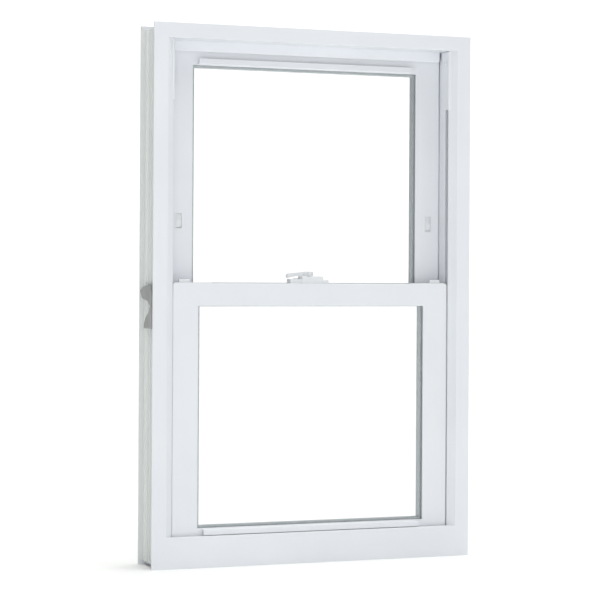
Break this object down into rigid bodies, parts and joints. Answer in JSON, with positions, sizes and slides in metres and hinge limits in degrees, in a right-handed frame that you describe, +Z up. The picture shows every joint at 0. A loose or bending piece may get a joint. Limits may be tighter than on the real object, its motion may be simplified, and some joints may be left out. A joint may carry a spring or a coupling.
{
  "type": "sash window",
  "caption": "White vinyl double-hung window with sliding sashes, a tilt-in lower sash, sash lock, tilt latches, lift rails and a flanged frame.",
  "frame": {"origin": "middle of the frame's base, at the lowest edge of its flanges", "axes": "+X to the right as seen from indoors, +Y from indoors to outdoors, +Z up"},
  "size_m": [0.603, 0.0826, 0.946],
  "materials": {
    "white_vinyl": "satin extruded white vinyl",
    "cover_vinyl": "satin white vinyl snap-in cover",
    "hardware_white": "moulded white, soft gloss",
    "balance_plastic": "moulded nylon",
    "spring_steel": "rolled spring strip",
    "plated_steel": "zinc plated",
    "clear_glass": "clear float glass",
    "spacer_grey": "grey spacer with dark sealant behind",
    "pile_grey": "woven pile",
    "grey_plastic": "moulded grey"
  },
  "bodies": {
    "frame": {"jamb_left": "white_vinyl", "jamb_right": "white_vinyl", "head": "white_vinyl", "sill": "white_vinyl", "head_stop": "white_vinyl", "track_cover_left": "cover_vinyl", "track_cover_right": "cover_vinyl", "lower_coil_case_left": "balance_plastic", "lower_coil_case_right": "balance_plastic", "upper_coil_case_left": "balance_plastic", "upper_coil_case_right": "balance_plastic", "lower_coil_left": "spring_steel", "lower_coil_right": "spring_steel", "upper_coil_left": "spring_steel", "upper_coil_right": "spring_steel"},
    "adjuster_left": {"adjuster_left": "grey_plastic"},
    "adjuster_right": {"adjuster_right": "grey_plastic"},
    "lower_ribbons": {"lower_ribbon_left": "spring_steel", "lower_ribbon_right": "spring_steel"},
    "lower_shoes": {"lower_shoe_left": "balance_plastic", "lower_shoe_right": "balance_plastic"},
    "lower_sash": {"lower_stile_left": "white_vinyl", "lower_stile_right": "white_vinyl", "lower_top_rail": "white_vinyl", "lower_bottom_rail": "white_vinyl", "lower_inner_pane": "clear_glass", "lower_outer_pane": "clear_glass", "lower_spacer": "spacer_grey", "lower_glazing_beads": "white_vinyl", "lower_weatherstrip": "pile_grey", "lower_pivot_left": "plated_steel", "lower_pivot_right": "plated_steel", "latch_case_left": "hardware_white", "latch_case_right": "hardware_white", "lock_base": "hardware_white", "lock_screws": "plated_steel"},
    "latch_left": {"latch_bolt_left": "hardware_white"},
    "latch_right": {"latch_bolt_right": "hardware_white"},
    "lock": {"lock_lever": "hardware_white", "lock_cam": "plated_steel"},
    "upper_sash": {"upper_shoe_left": "balance_plastic", "upper_shoe_right": "balance_plastic", "upper_stile_left": "white_vinyl", "upper_stile_right": "white_vinyl", "upper_top_rail": "white_vinyl", "upper_bottom_rail": "white_vinyl", "upper_inner_pane": "clear_glass", "upper_outer_pane": "clear_glass", "upper_spacer": "spacer_grey", "upper_glazing_beads": "white_vinyl", "upper_weatherstrip": "pile_grey", "upper_pivot_left": "plated_steel", "upper_pivot_right": "plated_steel", "vent_case_left": "hardware_white", "vent_case_right": "hardware_white", "keeper": "hardware_white", "upper_ribbon_left": "spring_steel", "upper_ribbon_right": "spring_steel"},
    "vent_left": {"vent_tongue_left": "hardware_white"},
    "vent_right": {"vent_tongue_right": "hardware_white"}
  },
  "joints": [
    {"name": "lower_lift", "type": "slide", "parent": "frame", "child": "lower_ribbons", "axis": [0, 0, 1], "range_m": [0, 0.095]},
    {"name": "lower_slide", "type": "slide", "parent": "lower_ribbons", "child": "lower_shoes", "axis": [0, 0, 1], "range_m": [0, 0.316], "deforming": ["lower_ribbon_left", "lower_ribbon_right"]},
    {"name": "lower_tilt", "type": "hinge", "parent": "lower_shoes", "child": "lower_sash", "pos_m": [0, -0.0227, 0.035], "axis": [1, 0, 0], "range_deg": [0, 90]},
    {"name": "latch_left_slide", "type": "slide", "parent": "lower_sash", "child": "latch_left", "axis": [1, 0, 0], "range_m": [0, 0.01], "stiffness_N_per_m": 60},
    {"name": "latch_right_slide", "type": "slide", "parent": "lower_sash", "child": "latch_right", "axis": [-1, 0, 0], "range_m": [0, 0.01], "stiffness_N_per_m": 60},
    {"name": "lock_turn", "type": "hinge", "parent": "lower_sash", "child": "lock", "pos_m": [-0.001, -0.0108, 0.5], "axis": [0, 0, 1], "range_deg": [0, 135]},
    {"name": "upper_slide", "type": "slide", "parent": "frame", "child": "upper_sash", "axis": [0, 0, -1], "range_m": [0, 0.36], "deforming": ["upper_ribbon_left", "upper_ribbon_right"]},
    {"name": "vent_left_swing", "type": "hinge", "parent": "upper_sash", "child": "vent_left", "pos_m": [-0.24, 0.0128, 0.595], "axis": [1, 0, 0], "range_deg": [0, 40]},
    {"name": "vent_right_swing", "type": "hinge", "parent": "upper_sash", "child": "vent_right", "pos_m": [0.24, 0.0128, 0.595], "axis": [1, 0, 0], "range_deg": [0, 40]},
    {"name": "adjuster_left_slide", "type": "slide", "parent": "frame", "child": "adjuster_left", "axis": [-1, 0, 0], "range_m": [0, 0.006]},
    {"name": "adjuster_right_slide", "type": "slide", "parent": "frame", "child": "adjuster_right", "axis": [1, 0, 0], "range_m": [0, 0.006]}
  ],
  "couplings": [
    {"joint": "lower_lift", "follows": "lower_tilt", "m_per_rad": 0.06}
  ]
}
